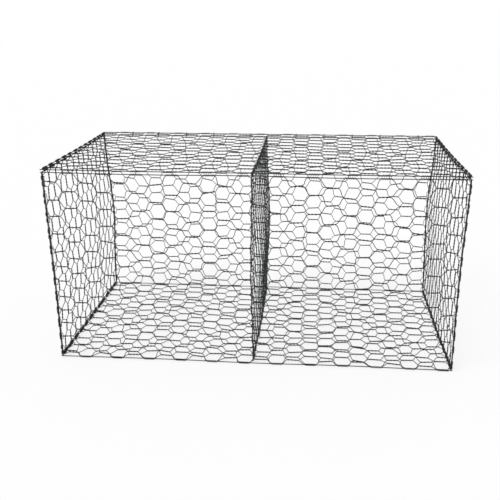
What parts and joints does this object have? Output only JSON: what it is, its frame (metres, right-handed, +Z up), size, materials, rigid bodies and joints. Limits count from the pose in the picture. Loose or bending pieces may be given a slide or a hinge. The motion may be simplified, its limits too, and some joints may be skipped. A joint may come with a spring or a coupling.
{
  "type": "empty gabion basket",
  "caption": "Empty gabion basket of woven wire mesh for a retaining wall, a long box with a partition across it and a hinged lid.",
  "frame": {"origin": "middle of the underside, on the ground", "axes": "+X along the basket's length, +Y from its front to its back, where the lid hinges, +Z up"},
  "size_m": [2, 1.014, 1.0007],
  "materials": {
    "mesh_wire": "satin",
    "edge_wire": "satin",
    "ring_wire": "satin"
  },
  "bodies": {
    "basket": {"back_bottom_wire": "edge_wire", "back_left_rings": "ring_wire", "back_left_wire": "edge_wire", "back_mesh": "mesh_wire", "back_right_rings": "ring_wire", "back_right_wire": "edge_wire", "back_top_wire": "edge_wire", "base_left_rings": "ring_wire", "base_left_wire": "edge_wire", "base_mesh": "mesh_wire", "base_right_rings": "ring_wire", "base_right_wire": "edge_wire", "diaphragm_back_rings": "ring_wire", "diaphragm_back_wire": "edge_wire", "diaphragm_bottom_rings": "ring_wire", "diaphragm_bottom_wire": "edge_wire", "diaphragm_front_rings": "ring_wire", "diaphragm_front_wire": "edge_wire", "diaphragm_mesh": "mesh_wire", "diaphragm_top_wire": "edge_wire", "front_bottom_wire": "edge_wire", "front_left_rings": "ring_wire", "front_left_wire": "edge_wire", "front_mesh": "mesh_wire", "front_right_rings": "ring_wire", "front_right_wire": "edge_wire", "front_top_wire": "edge_wire", "left_end_back_wire": "edge_wire", "left_end_bottom_wire": "edge_wire", "left_end_front_wire": "edge_wire", "left_end_mesh": "mesh_wire", "left_end_top_wire": "edge_wire", "lid_hinge_rings": "ring_wire", "right_end_back_wire": "edge_wire", "right_end_bottom_wire": "edge_wire", "right_end_front_wire": "edge_wire", "right_end_mesh": "mesh_wire", "right_end_top_wire": "edge_wire"},
    "lid": {"lid_back_wire": "edge_wire", "lid_front_wire": "edge_wire", "lid_left_wire": "edge_wire", "lid_mesh": "mesh_wire", "lid_right_wire": "edge_wire"}
  },
  "joints": [
    {"name": "lid_hinge", "type": "hinge", "parent": "basket", "child": "lid", "pos_m": [0, 0.5065, 0.9941], "axis": [-1, 0, 0], "range_deg": [0, 255]}
  ]
}
